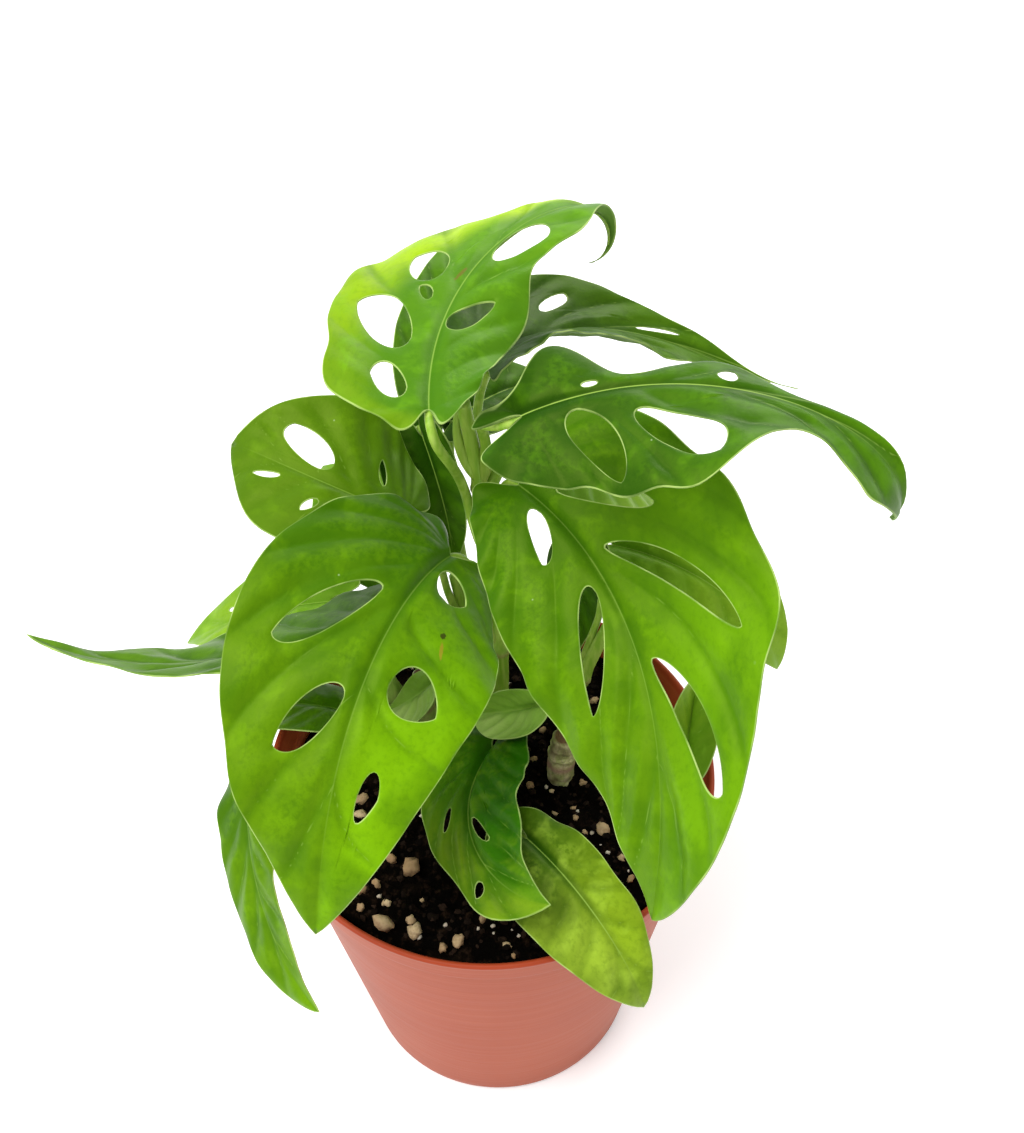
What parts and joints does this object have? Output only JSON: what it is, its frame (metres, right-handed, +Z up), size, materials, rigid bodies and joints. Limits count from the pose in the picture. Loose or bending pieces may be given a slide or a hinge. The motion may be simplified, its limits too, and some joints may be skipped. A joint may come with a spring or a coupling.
{
  "type": "monstera adansonii",
  "caption": "Climbing aroid house plant with pierced heart-shaped leaves on slim stems, standing in potting mix in a tapered round plastic nursery pot with a flat base.",
  "frame": {"origin": "middle of the pot's underside, on the surface that the pot stands on", "axes": "+Z up along the pot's axis, -Y towards the viewer of the picture's side, +X to the viewer's right"},
  "size_m": [0.2081, 0.2185, 0.2409],
  "materials": {
    "pot_plastic": "satin",
    "potting_mix": "matte",
    "stem": "satin",
    "cane": "matte",
    "leaf": "satin",
    "leaf_pale": "satin",
    "leaf_dark": "satin"
  },
  "bodies": {
    "root": {"pot": "pot_plastic", "soil": "potting_mix", "stem_main": "stem", "stem_left": "stem", "stem_back": "stem", "stem_right": "stem", "cut_stalk_left": "stem", "cut_stalk_middle": "stem", "old_cane": "cane", "leaf_top_left": "leaf", "leaf_front_right": "leaf", "leaf_front_left": "leaf", "leaf_front_curled": "leaf", "leaf_left_middle": "leaf", "leaf_far_left": "leaf", "leaf_left_rim": "leaf", "leaf_left_hanging": "leaf", "leaf_under_right": "leaf", "leaf_back_low": "leaf", "leaf_young_curled": "leaf_pale", "leaf_over_rim": "leaf_pale", "leaf_young_small": "leaf_pale", "leaf_left_behind": "leaf_pale", "leaf_right_folded": "leaf_pale", "leaf_right_behind": "leaf_pale", "leaf_right_long": "leaf_dark", "leaf_under_left": "leaf_dark", "leaf_right_far": "leaf_dark", "leaf_back_centre": "leaf_dark", "leaf_back_standing": "leaf_dark", "leaf_inner_right": "leaf_dark"}
  },
  "joints": []
}
